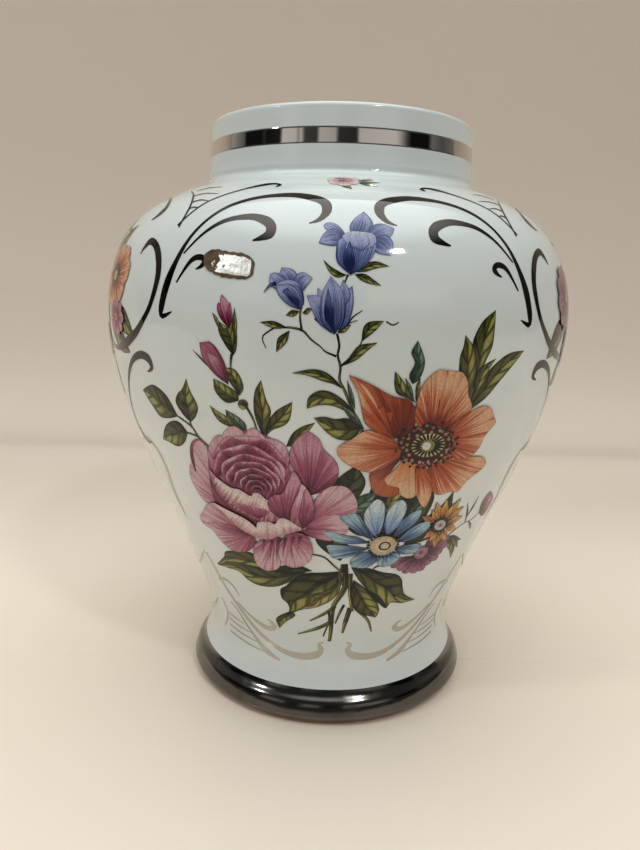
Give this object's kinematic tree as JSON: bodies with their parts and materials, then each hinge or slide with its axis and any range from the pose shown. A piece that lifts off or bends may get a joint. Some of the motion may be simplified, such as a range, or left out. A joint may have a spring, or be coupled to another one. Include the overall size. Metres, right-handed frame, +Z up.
{
  "type": "flower vase",
  "caption": "Baluster vase with a short collar neck and a flared foot, for standing cut flowers in water.",
  "frame": {"origin": "centre of the face that the foot rests on", "axes": "+Z up along the axis of rotation; the main bouquet faces -Y; +X to the right of it"},
  "size_m": [0.2298, 0.2298, 0.2799],
  "materials": {
    "porcelain": "glossy white glaze",
    "platinum_lustre": "fired platinum lustre, mirror bright with light wear",
    "label_foil": "worn gold foil on paper",
    "bouquet_enamel": "printed overglaze enamel, glossy",
    "posy_enamel": "printed overglaze enamel, glossy",
    "scroll_lustre": "thin fired platinum scroll lines"
  },
  "bodies": {
    "root": {"vase_body": "porcelain", "neck_band": "platinum_lustre", "foot_band": "platinum_lustre", "foil_label": "label_foil", "front_bouquet_transfer": "bouquet_enamel", "back_bouquet_transfer": "bouquet_enamel", "left_posy_transfer": "posy_enamel", "right_posy_transfer": "posy_enamel", "front_sprig_transfer": "bouquet_enamel", "back_sprig_transfer": "bouquet_enamel", "front_left_shoulder_scroll": "scroll_lustre", "front_right_shoulder_scroll": "scroll_lustre", "back_left_shoulder_scroll": "scroll_lustre", "back_right_shoulder_scroll": "scroll_lustre", "front_left_foot_scroll": "scroll_lustre", "front_right_foot_scroll": "scroll_lustre", "back_left_foot_scroll": "scroll_lustre", "back_right_foot_scroll": "scroll_lustre"}
  },
  "joints": []
}
